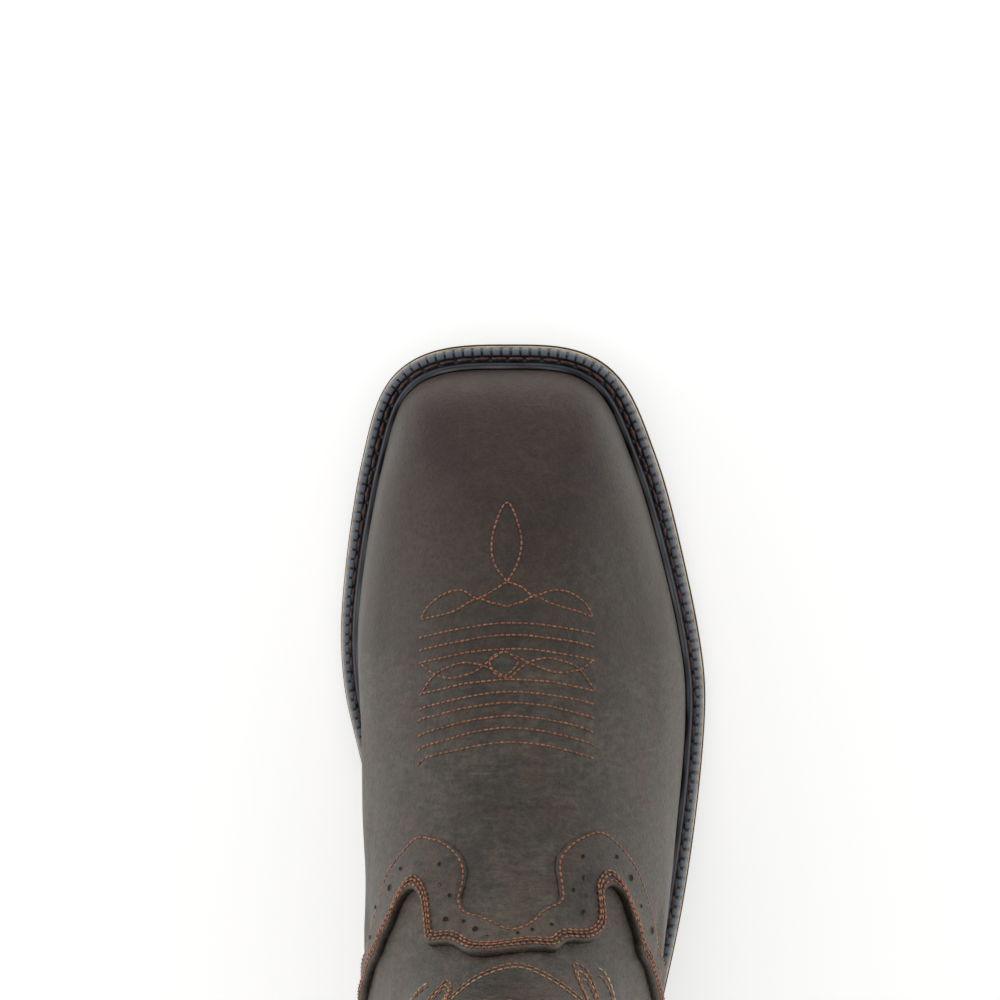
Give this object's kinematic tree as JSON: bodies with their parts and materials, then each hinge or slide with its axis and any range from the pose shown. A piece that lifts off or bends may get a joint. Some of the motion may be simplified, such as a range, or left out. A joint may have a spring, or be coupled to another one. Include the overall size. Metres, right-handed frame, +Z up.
{
  "type": "western work boot",
  "caption": "Right pull-on western work boot: wide square toe, ribbed storm welt, lugged rubber sole, block heel, scalloped shaft with pull straps.",
  "frame": {"origin": "middle of the heel's tread, on the floor", "axes": "+X to the toe, +Y to the inner (medial) side, +Z up"},
  "size_m": [0.3218, 0.1212, 0.321],
  "materials": {
    "black_rubber": "matte black-brown rubber",
    "stacked_heel": "dark stacked lifts, waxed edge",
    "tan_layer": "tan midsole layer",
    "welt_rubber": "satin blue-black rubber",
    "footbed": "brown footbed",
    "brown_leather": "oiled dark brown leather, satin",
    "shaft_leather": "oiled brown leather with a green cast"
  },
  "bodies": {
    "root": {"outsole": "black_rubber", "heel_block": "stacked_heel", "heel_lift": "black_rubber", "midsole": "tan_layer", "welt": "welt_rubber", "heel_rand": "welt_rubber", "insole": "footbed", "upper": "brown_leather", "vamp_collar": "brown_leather", "heel_counter": "brown_leather", "collar_binding": "shaft_leather", "side_piping_inner": "shaft_leather", "pull_strap_inner": "shaft_leather", "side_piping_outer": "shaft_leather", "pull_strap_outer": "shaft_leather"}
  },
  "joints": []
}
